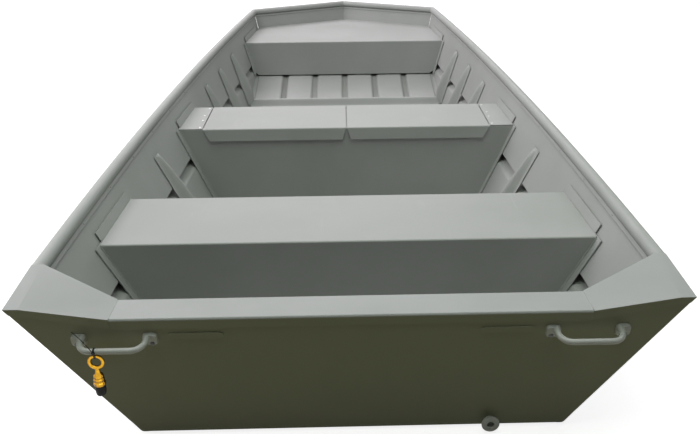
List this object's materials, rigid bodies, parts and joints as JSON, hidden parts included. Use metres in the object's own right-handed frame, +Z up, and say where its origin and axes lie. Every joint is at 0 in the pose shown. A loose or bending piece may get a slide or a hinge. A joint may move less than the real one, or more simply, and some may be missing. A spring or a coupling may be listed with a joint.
{
  "type": "flat-bottomed aluminium jon boat",
  "caption": "Open flat-bottomed jon boat of folded and pressed aluminium, with benches, a locker bench with hinged lids, ribs, a bow deck and transom handles.",
  "frame": {"origin": "on the floor under the middle of the overall length and beam, the boat standing on its bottom strakes", "axes": "+Y to the bow, +X to starboard, +Z up"},
  "size_m": [1.7692, 4.4826, 0.5271],
  "materials": {
    "hull_paint": "satin grey-green paint on aluminium plate",
    "seat_paint": "satin grey-green paint, lit tops of benches and deck",
    "rail_paint": "satin paint on an aluminium extrusion",
    "cast_handle": "painted cast aluminium",
    "hinge_metal": "mill finish",
    "brass": "polished brass",
    "black_rubber": "matt",
    "black_nylon": "matt"
  },
  "bodies": {
    "hull": {"bow_bench": "hull_paint", "bow_bench_flange_port": "hull_paint", "bow_bench_flange_starboard": "hull_paint", "bow_eye": "hinge_metal", "bow_panel": "hull_paint", "bow_rail_port": "rail_paint", "bow_rail_starboard": "rail_paint", "cable_tie": "black_nylon", "corner_plate_port": "seat_paint", "corner_plate_starboard": "seat_paint", "drain_plug_brass": "brass", "drain_plug_rubber": "black_rubber", "drain_tube": "cast_handle", "floor_rib_1": "hull_paint", "floor_rib_2": "hull_paint", "floor_rib_3": "hull_paint", "floor_rib_4": "hull_paint", "gunwale_port": "rail_paint", "gunwale_starboard": "rail_paint", "handle_port": "cast_handle", "handle_starboard": "cast_handle", "hinge_bench_leaf_port": "hinge_metal", "hinge_bench_leaf_starboard": "hinge_metal", "hinge_pin_port": "hinge_metal", "hinge_pin_starboard": "hinge_metal", "hull_bottom": "hull_paint", "locker_partition_centre": "hull_paint", "locker_partition_port": "hull_paint", "locker_partition_starboard": "hull_paint", "middle_bench_back": "hull_paint", "middle_bench_end_port": "seat_paint", "middle_bench_end_starboard": "seat_paint", "middle_bench_flange_port": "hull_paint", "middle_bench_flange_starboard": "hull_paint", "middle_bench_front": "hull_paint", "side_port": "hull_paint", "side_rib_1_port": "hull_paint", "side_rib_1_starboard": "hull_paint", "side_rib_2_port": "hull_paint", "side_rib_2_starboard": "hull_paint", "side_rib_3_port": "hull_paint", "side_rib_3_starboard": "hull_paint", "side_rib_4_port": "hull_paint", "side_rib_4_starboard": "hull_paint", "side_starboard": "hull_paint", "stern_bench": "hull_paint", "stern_bench_flange_port": "hull_paint", "stern_bench_flange_starboard": "hull_paint", "transom_cap": "seat_paint", "transom_inner_panel": "hull_paint", "transom_pad_port": "hull_paint", "transom_pad_starboard": "hull_paint", "transom_skin": "hull_paint"},
    "lid_port": {"lid_port": "seat_paint", "hinge_lid_leaf_port": "hinge_metal"},
    "lid_starboard": {"lid_starboard": "seat_paint", "hinge_lid_leaf_starboard": "hinge_metal"}
  },
  "joints": [
    {"name": "lid_port_hinge", "type": "hinge", "parent": "hull", "child": "lid_port", "pos_m": [0, -0.1078, 0.3662], "axis": [-1, 0, 0], "range_deg": [0, 175]},
    {"name": "lid_starboard_hinge", "type": "hinge", "parent": "hull", "child": "lid_starboard", "pos_m": [0, -0.1078, 0.3662], "axis": [-1, 0, 0], "range_deg": [0, 175]}
  ]
}
